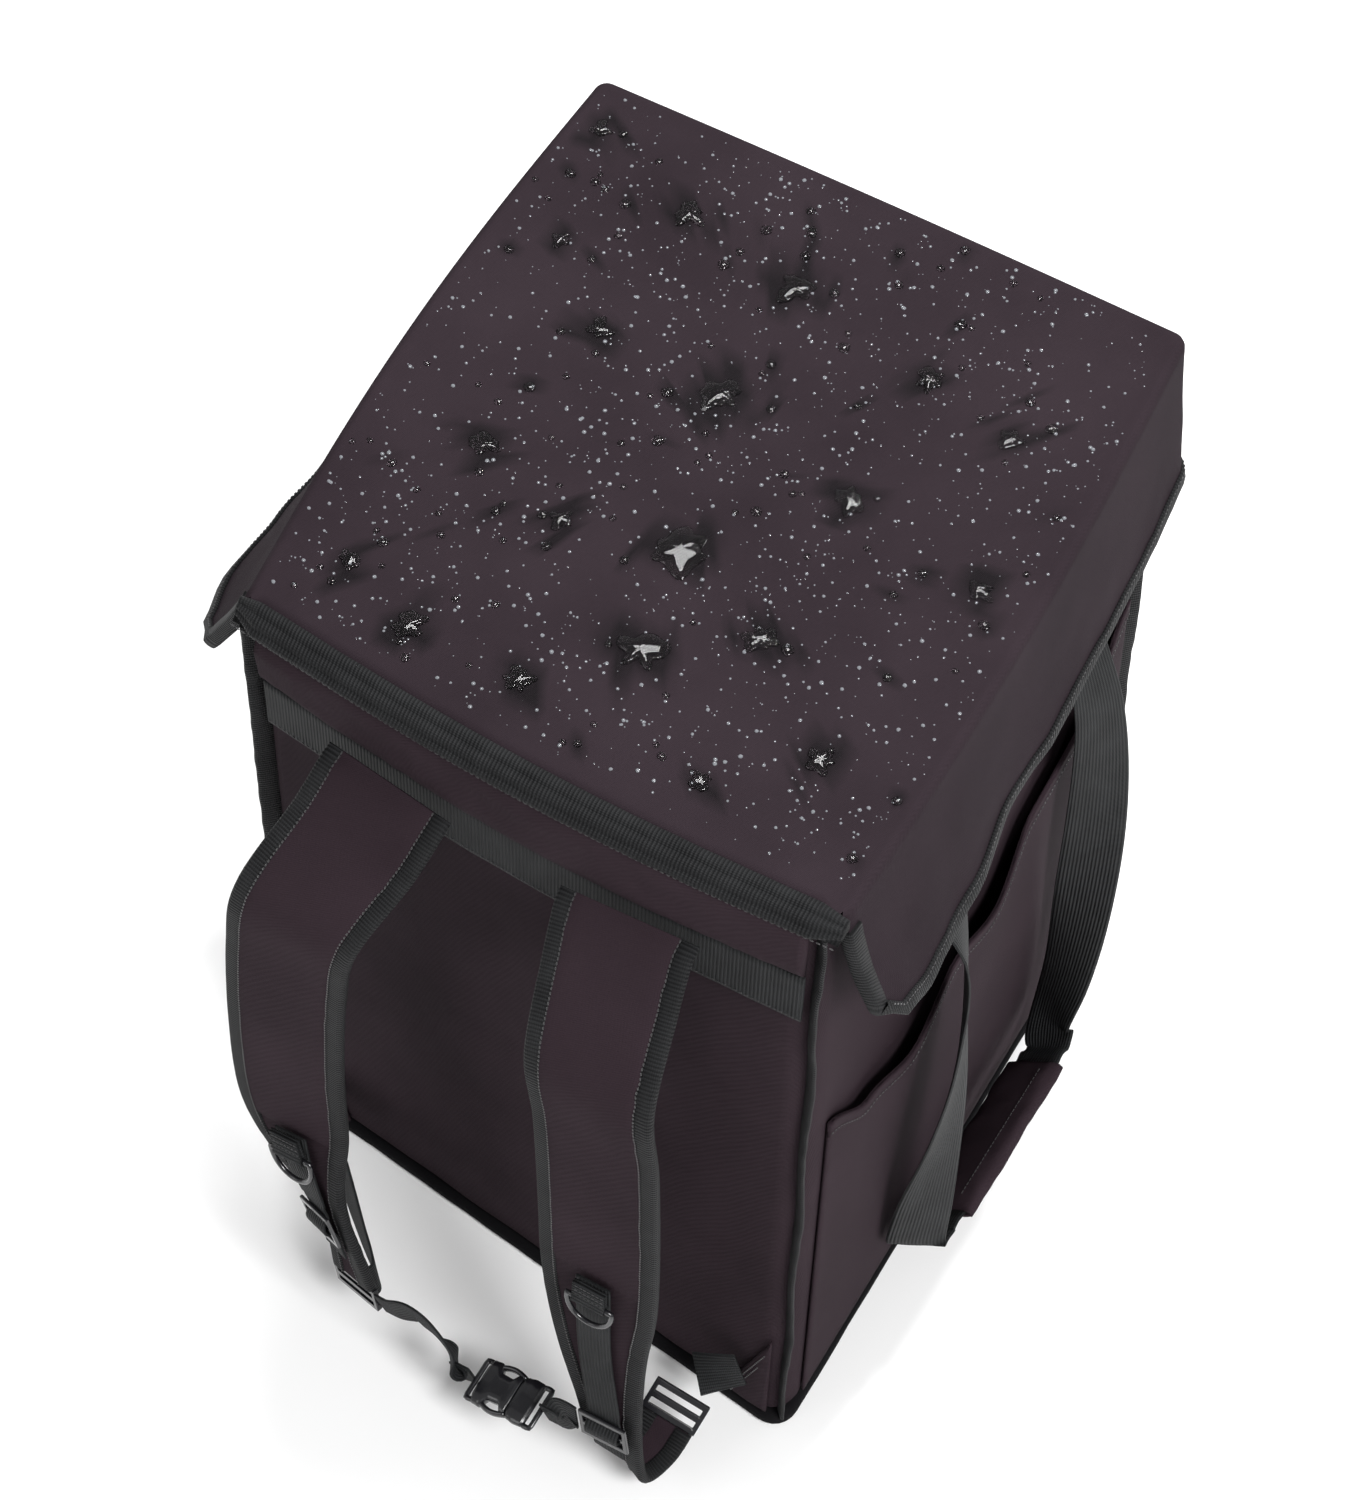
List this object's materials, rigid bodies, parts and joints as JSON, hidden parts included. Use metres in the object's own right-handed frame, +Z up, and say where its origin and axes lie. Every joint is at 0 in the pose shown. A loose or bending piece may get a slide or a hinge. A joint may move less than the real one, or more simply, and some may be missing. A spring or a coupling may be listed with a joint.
{
  "type": "insulated delivery backpack",
  "caption": "Tall padded box bag in dark cloth with a lid whose flaps hang over the sides, padded shoulder straps, a slip pocket and carry handles.",
  "frame": {"origin": "on the flat underside, at the middle of the straight box that the bag's form is worked out from", "axes": "+Z up, -Y towards the back panel with the shoulder straps, +X towards the side with the slip pocket"},
  "size_m": [0.5195, 0.6022, 0.6191],
  "materials": {
    "padded_fabric": "fine matt twill",
    "binding_tape": "matt grosgrain tape",
    "ribbed_webbing": "ribbed webbing",
    "base_cloth": "coated matt cloth",
    "black_plastic": "moulded gloss"
  },
  "bodies": {
    "bag": {"back_strip": "padded_fabric", "back_webbing": "ribbed_webbing", "base_panel": "base_cloth", "body_shell": "padded_fabric", "chest_buckle_female": "black_plastic", "chest_buckle_male": "black_plastic", "chest_strap_left": "ribbed_webbing", "chest_strap_right": "ribbed_webbing", "corner_patch_left": "padded_fabric", "corner_patch_right": "padded_fabric", "edge_binding_back_left": "binding_tape", "edge_binding_back_right": "binding_tape", "edge_binding_front_left": "binding_tape", "edge_binding_front_right": "binding_tape", "handle_grip_right": "padded_fabric", "handle_webbing_left": "ribbed_webbing", "handle_webbing_right": "ribbed_webbing", "hinge_binding": "binding_tape", "ladder_lock_left": "black_plastic", "ladder_lock_right": "black_plastic", "lid": "padded_fabric", "lid_binding": "binding_tape", "lower_webbing_left": "ribbed_webbing", "lower_webbing_right": "ribbed_webbing", "pocket_right": "padded_fabric", "ring_tab_left": "ribbed_webbing", "ring_tab_right": "ribbed_webbing", "ring_webbing_left": "ribbed_webbing", "ring_webbing_right": "ribbed_webbing", "strap_binding_left_inner": "binding_tape", "strap_binding_left_outer": "binding_tape", "strap_binding_right_inner": "binding_tape", "strap_binding_right_outer": "binding_tape", "strap_left": "padded_fabric", "strap_right": "padded_fabric", "tri_glide_left": "black_plastic", "tri_glide_right": "black_plastic"},
    "ring_left": {"d_ring_left": "black_plastic"},
    "ring_right": {"d_ring_right": "black_plastic"}
  },
  "joints": [
    {"name": "left_ring_swing", "type": "hinge", "parent": "bag", "child": "ring_left", "pos_m": [-0.11216, -0.32598, 0.19593], "axis": [-0.9656, 0.0617, -0.2527], "range_deg": [0, 100]},
    {"name": "right_ring_swing", "type": "hinge", "parent": "bag", "child": "ring_right", "pos_m": [0.11301, -0.33038, 0.22936], "axis": [-0.9999, -0.0005, -0.0159], "range_deg": [0, 100]}
  ]
}
